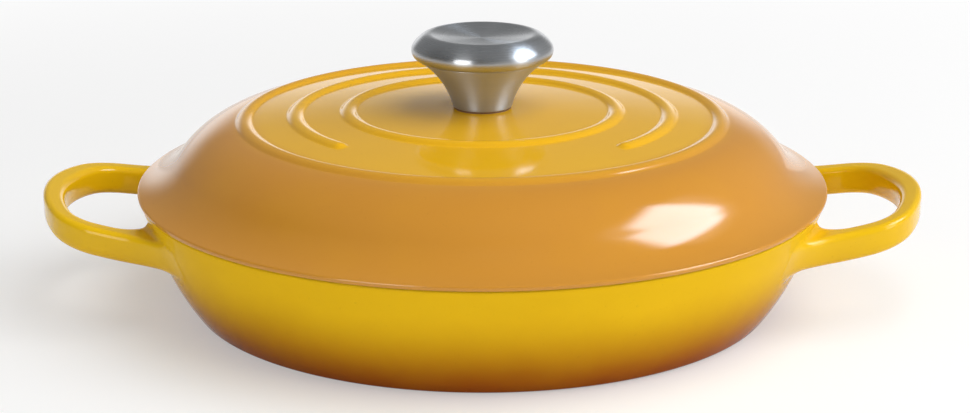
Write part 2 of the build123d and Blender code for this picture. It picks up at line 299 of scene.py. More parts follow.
# %% Enamel group
glaze, given, result = surface_group(
    "enamel_glaze",
    {
        "Place": VECTOR,
        "Thin Colour": COLOUR,
        "Thick And Shaded Colour": COLOUR,
        "Thickness": FLOAT,
        "Cloud": FLOAT,
        "Base Roughness": FLOAT,
    },
)
clouds = noise(glaze, given["Place"], 28.0, 3.0, 0.55)
cloud_shift = calc(glaze, "MULTIPLY", calc(glaze, "SUBTRACT", clouds, 0.5), given["Cloud"])
coat_and_shade = calc(glaze, "ADD", given["Thickness"], cloud_shift)
coat_and_shade = add_node(glaze, "ShaderNodeClamp", {"Value": coat_and_shade}).outputs[0]
# The pale colour darkens by the mask: a thicker coat, and on the pan and the lid also painted shade.
tone = blend_colours(glaze, coat_and_shade, given["Thin Colour"], given["Thick And Shaded Colour"])
specks = remap(glaze, noise(glaze, given["Place"], 900.0, 1.0), 0.70, 0.80, style="LINEAR")
tone = blend_colours(glaze, calc(glaze, "MULTIPLY", specks, 0.10), tone, srgb(96, 60, 24))
glaze.links.new(tone, result["Color"])
uneven = calc(glaze, "SUBTRACT", noise(glaze, given["Place"], 60.0, 4.0), 0.5)
haze = calc(glaze, "MULTIPLY", uneven, 0.08)
glaze.links.new(calc(glaze, "ADD", given["Base Roughness"], haze), result["Roughness"])
waves = calc(glaze, "MULTIPLY", noise(glaze, given["Place"], 45.0, 1.0), 0.6)
peel = calc(glaze, "MULTIPLY", noise(glaze, given["Place"], 420.0, 1.0), 0.05)
glaze.links.new(calc(glaze, "ADD", waves, peel), result["Height"])
print("enamel group nodes:", len(glaze.nodes))


# %% Enamel materials
def plain_material(name):
    """A material with its Principled shader ready, and Object coordinates."""
    material = bpy.data.materials.new(name)
    material.use_nodes = True
    tree = material.node_tree
    place = tree.nodes.new("ShaderNodeTexCoord").outputs["Object"]
    return material, tree, tree.nodes["Principled BSDF"], place


def bump(tree, height, distance, strength, shader):
    """Feeds a height to the shader as small relief."""
    inputs = {"Height": height, "Distance": distance, "Strength": strength}
    feed(tree, shader, {"Normal": add_node(tree, "ShaderNodeBump", inputs).outputs[0]})


def surface_from(group_tree, tree, shader, inputs, relief):
    """Feeds the shader's colour, roughness and relief from a node group."""
    look = add_node(tree, "ShaderNodeGroup", inputs, node_tree=group_tree).outputs
    feed(tree, shader, {"Base Color": look["Color"], "Roughness": look["Roughness"]})
    bump(tree, look["Height"], *relief, shader)


def enamel(name, thin, thick_and_shaded, mask, roughness=0.09, specular=0.5):
    """An enamel whose mask function says where its colour darkens: a thicker coat, and on the pan and the lid also
    painted shade.
    """
    material, tree, shader, place = plain_material(name)
    coat = {"Place": place, "Thickness": mask(tree, place), "Thin Colour": thin, "Thick And Shaded Colour": thick_and_shaded}
    surface_from(glaze, tree, shader, coat | {"Cloud": 0.25, "Base Roughness": roughness}, (0.0006, 0.15))
    feed(tree, shader, {"Specular IOR Level": specular})
    return material


def height_mask(low, high):
    """Dark at a low height, pale at a high one, in millimetres: a thicker coat, and on the pan also painted shade."""

    def mask(tree, place):
        return remap(tree, split(tree, place)[2], low * MM, high * MM, 1.0, 0.0)

    return mask


def radius_mask(near, far):
    """Pale near the axis, dark far from it, in millimetres: on the lid a thicker coat, and also painted shade of the
    sloping shoulder.
    """

    def mask(tree, place):
        x, y, _ = split(tree, place)
        return remap(tree, hypotenuse(tree, x, y), near * MM, far * MM)

    return mask


# On the pan and its handles the darkening towards the foot is partly a real ombré coat and partly painted shade, for
# the shade that falls low on the wall by the floor.
low_coat_and_shade = height_mask(-2, 38)
pan_enamel = enamel("pan_enamel", srgb(230, 184, 27), srgb(151, 77, 14), low_coat_and_shade, specular=0.015)
handle_enamel = enamel("handle_enamel", srgb(230, 184, 16), srgb(148, 70, 8), low_coat_and_shade, specular=0.25)
# The lid's darker shoulder is partly a thicker coat and partly painted shade of the sloping shoulder.
lid_enamel = enamel("lid_enamel", srgb(232, 176, 12), srgb(201, 138, 44), radius_mask(86, 102))
sand_enamel = enamel("sand_enamel", srgb(226, 214, 190), srgb(206, 190, 160), height_mask(0, 60), 0.2)
rim_enamel = enamel("rim_enamel", srgb(58, 52, 46), srgb(36, 32, 29), height_mask(30, 60), 0.55)
print("enamels:", [m.name for m in (pan_enamel, handle_enamel, lid_enamel, sand_enamel, rim_enamel)])

# %% [markdown]
# ## The pan's body
# The body is a shallow bowl cast in one piece: a flat base with a ground foot ring, a corner that rolls up
# into a wide belly, a straight leaning wall, and a rounded rim. Its section goes once round the iron, from
# the axis underneath, up the outside, over the rim and down the inside, so the turned shape is closed and
# its faces point outwards.

# %% Pan sizes and section
rim_radius, pan_height, wall, base_thickness = 136.4, 46.0, 3.6, 4.5
foot_width, foot_recess, base_edge, floor_fillet, rim_edge = 9.0, 0.6, 3.5, 16.0, 1.1
lean = math.radians(19.5)


def wall_at(height):
    """Radius of the straight outer wall at a height."""
    return rim_radius - (pan_height - height) * math.tan(lean)


belly_height, belly_radius = 26.0, 92.0
belly_start = wall_at(belly_height)
belly_centre = (belly_start - belly_radius * math.cos(lean), belly_height + belly_radius * math.sin(lean))


def between(start, end, shares):
    """Points on a straight run, at shares of its length."""
    start, end = np.array(start), np.array(end)
    return [tuple(start + (end - start) * share) for share in shares]


def belly_run(inset, floor, fillet, count):
    """The rolled corner at the floor and the belly above it, from the floor up."""
    reach = belly_radius - inset
    height = belly_centre[1] - floor - fillet
    fillet_centre = (belly_centre[0] + math.sqrt((reach - fillet) ** 2 - height**2), floor + fillet)
    turn = -math.degrees(math.asin(height / (reach - fillet)))
    rolled = arc(fillet_centre, fillet, -90, turn, max(6, count // 3))
    return rolled + arc(belly_centre, reach, turn, -math.degrees(lean), count)[1:]


outside = belly_run(0, 0, base_edge, 36)
inside = belly_run(wall, base_thickness, floor_fillet, 36)[::-1]
rim_out = (rim_radius, pan_height)
rim_in = (rim_radius - wall / math.cos(lean), pan_height)
foot_edge = outside[0][0] - foot_width
pan_section = (
    [(0, foot_recess), (foot_edge * 0.5, foot_recess), (foot_edge - foot_recess, foot_recess)]
    + [(foot_edge, 0), (foot_edge + foot_width / 2, 0)]
    + outside
    + between(outside[-1], rim_out, (0.15, 0.3, 0.45, 0.6, 0.75, 0.88))
    + corner(outside[-1], rim_out, rim_in, rim_edge, 7)
    + corner(rim_out, rim_in, inside[0], rim_edge, 7)
    + between(rim_in, inside[0], (0.15, 0.3, 0.5, 0.7, 0.85))
    + inside
    + [(inside[-1][0] * share, base_thickness) for share in (0.9, 0.75, 0.6, 0.45, 0.3, 0.15, 0)]
)
body = turned_piece("pan_body", pan_section, pan_enamel, 360)
print("pan section points:", len(pan_section))

# %% [markdown]
# ## The loop handles
# Each handle is cast with the wall: a rounded bar that leaves the wall level, bends gently upwards and comes
# back. A bar swept along one path could not do the roots, where the outside flares wide into the wall and the
# inside turns in a tight corner. So the bar is built between two guide outlines, an outer and an inner one,
# drawn as arcs that touch. Both outlines follow the leaning wall, so each is drawn twice, low and high, and
# mixed by height. Near the wall the bar also thickens, more below than above, which gives the soft corner of
# poured iron. The bar's hidden ends stop inside the wall, well short of the cooking surface.

# %% Handle sizes
reach, half_width, splay = 38.64, 50.5, math.radians(14)
thickness, drop, bend_radius, bend_start = 11.6, 13.9, 250.0, rim_radius - 30.0
end_radius, corner_radius, root_radius = 76.0, 27.0, 38.0
bar_end, bar_arm, opening_corner, opening_root = 8.5, 9.4, 17.7, 9.0
edge_radius, root_fillet, bite, draft = 2.6, 4.5, 0.05, math.tan(math.radians(1))
top_share, bury, deepest_row, deepest_end, high_guide = 0.4, 0.6, 3.0, 3.4, 15.7
handle_end, bar_level = rim_radius + reach, pan_height - drop
handle_low, handle_high = bar_level - thickness, bar_level + high_guide
print("the handles reach", round(handle_end, 1), "mm from the axis")


# %% Guide outlines
def angle_of(way):
    """The angle of a direction in plan, in degrees."""
    return math.degrees(math.atan2(*way[::-1]))


def guide(height, side_shift, end_shift, end_arc, turn_radius, root, counts, hollow):
    """Half of a handle's outline in plan, from its root on the wall to the middle of its end.

    The arm is a straight line. A circle touches the arm and the wall's circle at the root, and another
    touches the arm and the end's arc at the corner.
    """
    along = np.array([math.cos(splay), -math.sin(splay)])
    out = np.array([math.sin(splay), math.cos(splay)])
    arm_point = np.array([rim_radius, half_width - side_shift])
    wall_circle = wall_at(height) - bite
    end_centre = np.array([handle_end - end_shift - end_arc, 0.0])

    def touching(middle, distance, shift):
        """Point at a distance from a middle, on the arm's line moved outwards by a shift."""
        start = arm_point + out * shift - middle
        half = start @ along
        return middle + start + along * (-half + math.sqrt(half**2 - start @ start + distance**2))

    sign = -1 if hollow else 1
    flare_centre = touching(np.zeros(2), wall_circle + root, sign * root)
    turn_centre = touching(end_centre, end_arc - turn_radius, -turn_radius)
    wall_turn = angle_of(-flare_centre)
    arm_turn = angle_of(-sign * out)
    sweep = (arm_turn - wall_turn + 180) % 360 - 180
    flare = arc(flare_centre, root, wall_turn, wall_turn + sweep, counts[0])
    end_turn = angle_of(turn_centre - end_centre)
    turned = arc(turn_centre, turn_radius, 90 - math.degrees(splay), end_turn, counts[2])
    arm = between(flare[-1], turned[0], np.linspace(0, 1, counts[1]))
    end = arc(end_centre, end_arc, end_turn, 0, counts[3])
    return np.array(flare + arm[1:-1] + turned + end[1:])


def guides(height, inset):
    """The outer and inner guide at a height, each drawn in by an inset."""
    counts = (16, 10, 16, 14)
    found = []
    for hollow in (False, True):
        shift = inset if not hollow else -inset
        side, end = (bar_arm, bar_end) if hollow else (0, 0)
        turn_radius = opening_corner if hollow else corner_radius - inset
        root = opening_root if hollow else root_radius
        end_arc = end_radius - end - shift
        found.append(guide(height, side + shift, end + shift, end_arc, turn_radius, root, counts, hollow))
    return found


low_outer, low_inner = guides(handle_low, (handle_high - handle_low) * draft)
high_outer, high_inner = guides(handle_high, 0)
print("guide points:", len(low_outer), len(high_inner))


# %% Bar between the guides
def inward(line, side):
    """Unit directions across an outline, towards the bar."""
    along = np.gradient(line, axis=0)
    across = np.stack([along[:, 1], -along[:, 0]], 1) * side
    return across / np.linalg.norm(across, axis=1)[:, None]


def bar_rows():
    """The bar's section: where each row is measured from, how far in or across it is, and how far up."""
    flat = thickness / 2 - edge_radius
    turns = np.radians(np.linspace(0, 90, 7))
    rounded = [(edge_radius * (1 - math.cos(a)), flat + edge_radius * math.sin(a)) for a in turns]
    shares = np.linspace(0, 1, 8)[1:-1]
    rows = [("outer", 0, flat * s) for s in (-0.5, 0, 0.5)]
    rows += [("outer", w, v) for w, v in rounded]
    rows += [("across", s, thickness / 2) for s in shares]
    rows += [("inner", w, v) for w, v in rounded[::-1]]
    rows += [("inner", 0, flat * s) for s in (0.5, 0, -0.5)]
    rows += [("inner", w, -v) for w, v in rounded]
    rows += [("across", 1 - s, -thickness / 2) for s in shares]
    rows += [("outer", w, -v) for w, v in rounded[::-1]]
    return rows


def bend_height(x):
    """Height of the bar's middle where it bends up, away from the wall."""
    return bar_level + bend_radius - np.sqrt(bend_radius**2 - np.maximum(x - bend_start, 0) ** 2)


def bar_grid():
    """Grid of points, one line of rows for each place along the half loop.

    The guides depend on a row's height and its height on the guides, so a few rounds let the two agree.
    """
    columns = len(low_outer)
    grid = np.zeros((columns, len(bar_rows()), 3))
    for number, (kind, offset, up) in enumerate(bar_rows()):
        level = np.full(columns, bar_level)
        for _ in range(4):
            mix = ((level - handle_low) / (handle_high - handle_low))[:, None]
            outer = low_outer + (high_outer - low_outer) * mix
            inner = low_inner + (high_inner - low_inner) * mix
            outer_in, inner_in = inward(outer, 1), inward(inner, -1)
            if kind == "outer":
                plan = outer + outer_in * offset
            elif kind == "inner":
                plan = inner + inner_in * offset
            else:
                first, last = outer + outer_in * edge_radius, inner + inner_in * edge_radius
                plan = first + (last - first) * offset
            from_axis = np.hypot(plan[:, 0], plan[:, 1])
            plan = plan * np.maximum(1, (wall_at(level) - deepest_row) / from_axis)[:, None]
            gap = np.clip(from_axis - wall_at(level), 0, root_fillet)
            swell = root_fillet - np.sqrt(root_fillet**2 - (root_fillet - gap) ** 2)
            growth = swell if up < 0 else swell * top_share
            level = bend_height(plan[:, 0]) + up * (1 + growth * 2 / thickness)
        grid[:, number, :2] = plan
        grid[:, number, 2] = level
    return grid


def handle_piece(name, side):
    """A closed bar whose two ends are buried in the wall."""
    half = bar_grid()
    buried = half[:1].copy()
    radius = np.hypot(buried[..., 0], buried[..., 1])
    end_radii = np.maximum(radius - bury, wall_at(buried[..., 2]) - deepest_end)
    buried[..., :2] *= (end_radii / radius)[..., None]
    half = np.concatenate([buried, half])
    mirrored = half[::-1][1:].copy()
    mirrored[..., 1] *= -1
    grid = np.concatenate([half, mirrored])
    grid[..., 0] *= side
    columns, rows = grid.shape[:2]
    faces = [
        (c * rows + r, c * rows + (r + 1) % rows, (c + 1) * rows + (r + 1) % rows, (c + 1) * rows + r)
        for c in range(columns - 1)
        for r in range(rows)
    ]
    faces.append(tuple(range(rows))[::-1])
    faces.append(tuple((columns - 1) * rows + r for r in range(rows)))
    if side < 0:
        faces = [face[::-1] for face in faces]
    piece = mesh_piece(name, (grid.reshape(-1, 3) * MM).tolist(), faces)
    piece.data.materials.append(pan_enamel)
    piece.data.shade_smooth()
    print(name, "faces:", len(piece.data.polygons))
    return piece


right_handle = handle_piece("right_bar", 1)
left_handle = handle_piece("left_bar", -1)

# %% [markdown]
# ## One casting
# The handles and the body are one pour of iron. Leaving the bars pushed through the wall would look right
# from outside but leave hidden faces inside the iron, so a Boolean union makes one skin of the three.

# %% Join handles and body
for bar in (right_handle, left_handle):
    union = body.modifiers.new("cast_" + bar.name, "BOOLEAN")
    union.operation = "UNION"
    union.solver = "EXACT"
    union.object = bar
pan = settle(body)
pan.name = pan.data.name = "pan_casting"
for bar in (right_handle, left_handle):
    bpy.data.objects.remove(bar)
pan.data.shade_smooth()


# %% Give each zone of the pan its finish
def paint_faces(piece, materials, chooser):
    """Sets each face's material from its middle's radius and height, in millimetres, and its direction."""
    piece.data.materials.clear()
    for material in materials:
        piece.data.materials.append(material)
    counts = [0] * len(materials)
    for face in piece.data.polygons:
        x, y, z = face.center
        face.material_index = chooser(math.hypot(x, y) / MM, z / MM, face.normal)
        counts[face.material_index] += 1
    print(piece.name, "faces by finish:", dict(zip([m.name for m in materials], counts)))


def pan_zone(radius, height, normal):
    """0 outside, 1 the sand-coloured cooking surface, 2 the matt rim, 3 the handles."""
    wide_slack, slack = 0.3, 0.2
    mid_wall = wall_at(height) - wall * 0.5
    if height > pan_height - wide_slack and radius < rim_radius + slack:
        return 2
    if radius > wall_at(height) + wide_slack:
        return 3
    if base_thickness - slack < height < pan_height and radius < mid_wall:
        belly = belly_centre[1] - height
        limit = belly_centre[0] + math.sqrt((belly_radius - wall * 0.5) ** 2 - belly**2)
        return 1 if radius < max(limit, mid_wall if height > belly_height else 0) else 0
    return 0


paint_faces(pan, (pan_enamel, sand_enamel, rim_enamel, handle_enamel), pan_zone)
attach(pan, "pan")
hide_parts("pan")

# %% [markdown]
# ## The lid
# The lid is a dome of three arcs that run into each other: an almost flat crown, a rounded shoulder and a
# hollow flare that ends in a thin lip. Underneath it has a locating rim that drops into the pan's mouth, three
# small lugs that centre it, and a flat pad for the knob's washer. The section is turned like the pan's. Its
# points crowd together under the rings, where the next step will raise the surface.

# %% Lid sizes and section
lid_radius, lid_top, lid_wall = 137.0, 77.7, 3.5
crown_radius, crown_reach, shoulder_radius, flare_radius = 1100.0, 95.0, 36.0, 30.0
flare_turn = math.radians(53.7)
ring_radii, ring_width, ring_height, ring_foot, ring_gap = (53.2, 74.2, 94.5), 6.4, 1.5, 0.45, 94.0
wide_step, under_step, near_ring, fine_step = 4.0, 6.0, 5.0, 0.45
crown_turn = math.asin(crown_reach / crown_radius)
crown_way = np.array([math.sin(crown_turn), math.cos(crown_turn)])
flare_way = np.array([math.sin(flare_turn), math.cos(flare_turn)])
crown_centre = np.array([0, lid_top - crown_radius])
shoulder_centre = crown_centre + crown_way * (crown_radius - shoulder_radius)
flare_centre = shoulder_centre + flare_way * (shoulder_radius + flare_radius)
mouth = rim_in[0]


def flare_turn_at(radius, reach=None, height=None):
    """Angle on the flare's arc where it meets a radius or a height."""
    if reach is not None:
        return -180 + math.degrees(math.acos((flare_centre[0] - reach) / radius))
    return -180 + math.degrees(math.asin((flare_centre[1] - height) / radius))


def dome_run(inset, end_turn):
    """The dome's three arcs from the crown outwards, moved inwards by an inset."""
    crown = crown_radius - inset
    wide = [r for r in np.arange(0, crown_reach, wide_step) if min(abs(r - ring) for ring in ring_radii) > 5.5]
    steps = np.arange(-near_ring, near_ring + 0.05, fine_step)
    near = [ring + step for ring in ring_radii for step in steps if ring + step < crown_reach]
    radii = sorted(wide + near) if inset == 0 else list(np.arange(0, crown_reach, under_step))
    limit = crown * math.sin(crown_turn)
    run = [(r, crown_centre[1] + math.sqrt(crown**2 - r**2)) for r in radii if r < limit - 0.3]
    start = 90 - math.degrees(crown_turn)
    run += arc(shoulder_centre, shoulder_radius - inset, start, start - 9, 14)
    run += arc(shoulder_centre, shoulder_radius - inset, start - 9, 90 - math.degrees(flare_turn), 18)[1:]
    flare_start = -90 - math.degrees(flare_turn)
    run += arc(flare_centre, flare_radius + inset, flare_start, end_turn, 22)[1:]
    return run


lip_turn = flare_turn_at(flare_radius, reach=lid_radius)
print("the flare meets the lip at", round(lip_turn, 1), "degrees")

# %% Close the lid's section
locator_gap, locator_depth, locator_width, locator_edge = 1.0, 4.0, 3.0, 1.0
pad_radius, pad_rise, pad_soft, washer_hole, seat_depth, lip_edge = 15.0, 1.2, 0.4, 3.5, 0.15, 0.8
top_run = dome_run(0, lip_turn)
inner_turn = flare_turn_at(flare_radius + lid_wall, height=pan_height)
under_run = dome_run(lid_wall, inner_turn)[::-1]
lip = top_run[-1]
locator = mouth - locator_gap
tip, tip_level = locator - locator_depth * math.tan(lean), pan_height - locator_depth
tip_inside = tip - locator_width
pad_face = lid_top - lid_wall - pad_rise
locator_run = (
    [(mouth + 1.2, pan_height), (locator, pan_height)]
    + [(locator - drop_by * math.tan(lean), pan_height - drop_by) for drop_by in (0.3, 0.9, 1.6, 2.3, 2.9)]
    + corner((locator, pan_height), (tip, tip_level), (tip_inside, tip_level), locator_edge)
    + corner((tip, tip_level), (tip_inside, tip_level), (tip_inside, pan_height), locator_edge)
)
join = next(i for i, p in enumerate(under_run) if p[0] < tip_inside)
pad_start = next(i for i, p in enumerate(under_run) if p[0] < pad_radius)
lid_section = (
    [(washer_hole, pad_face), (8, pad_face), (pad_radius - pad_soft, pad_face), (pad_radius + pad_soft, pad_face + 0.9)]
    + under_run[join:pad_start][::-1]
    + locator_run[::-1]
    + corner((mouth, pan_height), (lid_radius, pan_height), lip, lip_edge, 6)
    + corner((lid_radius, pan_height), lip, top_run[-2], lip_edge, 6)
    + top_run[:-1][::-1][:-1]
)
lid_section = [p for p in lid_section if p[0] >= washer_hole]
lid_section = [p for i, p in enumerate(lid_section) if i == 0 or math.dist(p, lid_section[i - 1]) > 0.01]
# The knob's seat is a flat ground into the crown. It is run out to where it meets the dome, so no step shows.
seat_reach = math.sqrt(2 * crown_radius * seat_depth)
seat_stops = (seat_reach, 14.5, 10.0, 6.0, washer_hole + 0.5, washer_hole)
seat = [(r, lid_top - seat_depth) for r in seat_stops] + [lid_section[0]]
lid_section = [p for p in lid_section if p[0] > seat_reach + 0.2 or p[1] < lid_top - 2] + seat
print("lid section points:", len(lid_section))

# %% [markdown]
# ## Raised rings
# The dome carries raised rings with soft feet. The middle one stops short at the front and ends there in two
# round tips, on either side of a plain patch. Rings could be separate hoops pushed into the dome, but then
# they would meet it in a hard line. Here a node tree lifts the dome's own surface: it measures how far each
# point is from a ring's middle line, and raises it by a round bump that fades softly at its foot. The same
# tree is used once for each ring, with its own radius and gap.

# %% Ring tree
SIZES = {name: FLOAT for name in ("Ring Radius", "Ring Width", "Ring Height", "Foot", "Gap Angle", "Gap Bearing")}
rings, given, result = shape_tree("raised_ring", SIZES | {"Material": MATERIAL})
place = rings.nodes.new("GeometryNodeInputPosition").outputs[0]
x, y, z = split(rings, place)
radius = hypotenuse(rings, x, y)
bearing = calc(rings, "SUBTRACT", calc(rings, "ARCTAN2", y, x), given["Gap Bearing"])
bearing = calc(rings, "ABSOLUTE", calc(rings, "WRAP", bearing, math.pi, -math.pi))
half_gap = calc(rings, "MULTIPLY", given["Gap Angle"], 0.5)
in_gap = calc(rings, "LESS_THAN", bearing, half_gap)
off_line = calc(rings, "ABSOLUTE", calc(rings, "SUBTRACT", radius, given["Ring Radius"]))
past_end = calc(rings, "SUBTRACT", half_gap, bearing)
from_tip = calc(rings, "MULTIPLY", radius, calc(rings, "SINE", past_end))
level_with_tip = calc(rings, "MULTIPLY", radius, calc(rings, "COSINE", past_end))
along_tip = calc(rings, "SUBTRACT", level_with_tip, given["Ring Radius"])
tip_distance = hypotenuse(rings, from_tip, along_tip)
extra = calc(rings, "MULTIPLY", in_gap, calc(rings, "SUBTRACT", tip_distance, off_line))
distance = calc(rings, "ADD", off_line, extra)
print("nodes that measure the distance:", len(rings.nodes))

# %% Ring bump
half_ring = calc(rings, "MULTIPLY", given["Ring Width"], 0.5)
rise = given["Ring Height"]
squares = calc(rings, "ADD", square(rings, half_ring), square(rings, rise))
bump_radius = calc(rings, "DIVIDE", squares, calc(rings, "MULTIPLY", rise, 2.0))
under_root = calc(rings, "SUBTRACT", square(rings, bump_radius), square(rings, distance))
bump_top = calc(rings, "SQRT", calc(rings, "MAXIMUM", under_root, 0.0))
level = calc(rings, "SUBTRACT", bump_top, calc(rings, "SUBTRACT", bump_radius, rise))
lift = calc(rings, "SMOOTH_MAX", level, 0.0, given["Foot"])
normal = rings.nodes.new("GeometryNodeInputNormal").outputs[0]
outside_only = calc(rings, "GREATER_THAN", split(rings, normal)[2], 0.2)
upwards = calc(rings, "MULTIPLY", lift, outside_only)
shift = add_node(rings, "ShaderNodeCombineXYZ", {2: upwards}).outputs[0]
lifted = add_node(rings, "GeometryNodeSetPosition", {"Geometry": given["Geometry"], "Offset": shift})
finish_tree(rings, lifted.outputs[0], given["Material"], result["Geometry"])
print("ring tree nodes:", len(rings.nodes))

# %% Turn the lid and raise its rings
lid = section_piece("lid_casting", lid_section)
use_tree(lid, lathe, {"Segments": 420, "Material": lid_enamel})
ring_inputs = {
    "Ring Width": ring_width * MM,
    "Ring Height": ring_height * MM,
    "Foot": ring_foot * MM,
    "Gap Bearing": math.radians(-90),
    "Material": lid_enamel,
}
for ring in ring_radii:
    gap = math.radians(ring_gap) if ring == ring_radii[1] else 0.0
    use_tree(lid, rings, ring_inputs | {"Ring Radius": ring * MM, "Gap Angle": gap})
settle(lid)


# %% Guide lugs and finishes of the lid
lug_count, lug_half_width, lug_height, lug_top, lug_foot = 3, 6.0, 0.6, 0.2, 2.95
face_inside, face_outside = locator - 1.3, locator + 0.3


def lug_push(x, y, z):
    """How far a point of the locating rim's outer face moves out where there is a lug, in millimetres."""
    radius, height = math.hypot(x, y) / MM, z / MM
    if not (lug_top < pan_height - height < lug_foot and face_inside < radius < face_outside):
        return 0.0
    bearing = math.degrees(math.atan2(y, x)) - 90
    nearest = min(abs((bearing - 360 / lug_count * n + 180) % 360 - 180) for n in range(lug_count))
    return lug_height if nearest < math.degrees(lug_half_width / locator) else 0.0


pushed = 0
for vertex in lid.data.vertices:
    push = lug_push(*vertex.co)
    if push:
        reach_now = math.hypot(vertex.co.x, vertex.co.y)
        vertex.co.x *= 1 + push * MM / reach_now
        vertex.co.y *= 1 + push * MM / reach_now
        pushed += 1
print("points moved out for lugs:", pushed)


def lid_zone(radius, height, normal):
    """0 outside, 1 the sand-coloured underside, 2 the matt ring that rests on the rim."""
    low_part, hole_side = pan_height + 2, washer_hole + 0.1
    if height < pan_height + 0.3 and face_outside < radius < lid_radius - lip_edge and normal.z < -0.5:
        return 2
    if radius < locator + 0.8 and (normal.z < -0.02 or height < low_part or radius < hole_side):
        return 1
    return 0


paint_faces(lid, (lid_enamel, sand_enamel, rim_enamel), lid_zone)
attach(lid, "lid")
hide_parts("lid")

# %% [markdown]
# ## Steel knob
# The knob is two steel pieces: a turned stem that flares out like a trumpet, and a pressed cap with a round
# edge and a dished top. They meet in a fine seam just under the edge. A lathe leaves hair-fine grooves that
# run round the axis. The grooves are rings of noise that depend only on the radius and height, so they run
# round the piece from every side. Grooves too fine to see still stretch a highlight across their own run, and
# the shader's anisotropy does that, with its direction taken round the axis.

# %% Brushed steel group and materials
brushed, given, result = surface_group(
    "brushed_steel",
    {"Place": VECTOR, "Base Colour": COLOUR, "Base Roughness": FLOAT, "Grain": FLOAT},
)
x, y, z = split(brushed, given["Place"])
ring_place = add_node(brushed, "ShaderNodeCombineXYZ", {0: hypotenuse(brushed, x, y), 1: z}).outputs[0]
groove = noise(brushed, ring_place, 4200.0, 3.0, 0.6)
drift = noise(brushed, given["Place"], 90.0, 3.0)
tone = blend_colours(brushed, calc(brushed, "MULTIPLY", groove, 0.35), given["Base Colour"], srgb(120, 118, 115))
tone = blend_colours(brushed, calc(brushed, "MULTIPLY", drift, 0.12), tone, srgb(238, 236, 230))
brushed.links.new(tone, result["Color"])
groove_shift = calc(brushed, "MULTIPLY", calc(brushed, "SUBTRACT", groove, 0.5), 0.12)
rough = calc(brushed, "ADD", given["Base Roughness"], groove_shift)
brushed.links.new(calc(brushed, "ADD", rough, calc(brushed, "MULTIPLY", drift, 0.05)), result["Roughness"])
brushed.links.new(calc(brushed, "MULTIPLY", groove, given["Grain"]), result["Height"])


def steel(name, colour, roughness, grain, metallic=1.0):
    """A steel turned on a lathe. A metallic value below 1 stands for fine scratches that scatter the light."""
    material, tree, shader, place = plain_material(name)
    inputs = {"Place": place, "Base Colour": colour, "Base Roughness": roughness, "Grain": grain}
    surface_from(brushed, tree, shader, inputs, (0.00004, 0.5))
    around = add_node(tree, "ShaderNodeTangent", direction_type="RADIAL", axis="Z").outputs[0]
    feed(tree, shader, {"Metallic": metallic, "Anisotropic": 0.85, "Anisotropic Rotation": 0.25, "Tangent": around})
    return material


stem_steel = steel("turned_steel", srgb(176, 180, 187), 0.42, 1.0, 0.7)
cap_steel = steel("pressed_steel", srgb(178, 182, 187), 0.26, 0.6, 0.92)
screw_steel = steel("screw_steel", srgb(186, 185, 182), 0.34, 0.6)
print("steels:", stem_steel.name, cap_steel.name, screw_steel.name)

# %% Knob sections
gasket_thickness, insert_hole, foot_radius, foot_round = 0.7, 5.05, 11.7, 0.6
foot_height = lid_top - seat_depth + gasket_thickness
seam_radius, seam_level, seam_chamfer = 25.8, foot_height + 19.4, 0.12
cup_radius, cup_wall, cup_floor, insert_top = 12.0, 3.0, foot_height + 15.5, foot_height + 13.0
spigot, spigot_top = seam_radius - 1.5, seam_level + 1.5
lean_in = math.radians(14.3)
stem_way = (math.sin(lean_in), math.cos(lean_in))
trumpet = leaving_arc((foot_radius, foot_height), stem_way, (seam_radius, seam_level), 40)
stem_section = (
    [(insert_hole, foot_height)]
    + corner((0, foot_height), (foot_radius, foot_height), trumpet[3], foot_round, 5)
    + trumpet[2:-1]
    + [(seam_radius - 0.1, seam_level - seam_chamfer), (seam_radius - seam_chamfer * 2, seam_level)]
    + [(spigot, seam_level), (spigot, spigot_top), (spigot - cup_wall, spigot_top), (cup_radius, cup_floor)]
    + [(0, cup_floor), (0, insert_top), (insert_hole, insert_top), (insert_hole, foot_height)]
)
print("stem section points:", len(stem_section))


# %% Cap section
knob_radius, cap_wall, land, dish_turn = 28.1, 1.2, 1.4, math.radians(10)
edge_round, face_round, crest_round = 3.8, 12.5, 5.94
face_start, face_end = 34.0, 55.0


def unit(turn):
    """Direction at an angle in degrees."""
    return np.array([math.cos(math.radians(turn)), math.sin(math.radians(turn))])


edge_reach = knob_radius - edge_round
edge_centre = np.array([edge_reach, seam_level + math.sqrt(edge_round**2 - (seam_radius - edge_reach) ** 2)])
face_centre = edge_centre - unit(face_start) * (face_round - edge_round)
crest_centre = face_centre + unit(face_end) * (face_round - crest_round)
dish_end = 90 + math.degrees(dish_turn)
dish_round = crest_centre[0] / math.sin(dish_turn) - crest_round
dish_floor = crest_centre[1] + crest_round * math.cos(dish_turn) - dish_round * (1 - math.cos(dish_turn))


def cap_run(inset, start):
    """The cap's edge, face and crest in one run of arcs, moved inwards by an inset."""
    run = arc(edge_centre, edge_round - inset, start, face_start, 20)
    run += arc(face_centre, face_round - inset, face_start, face_end, 18)[1:]
    return run + arc(crest_centre, crest_round - inset, face_end, dish_end, 12)[1:]


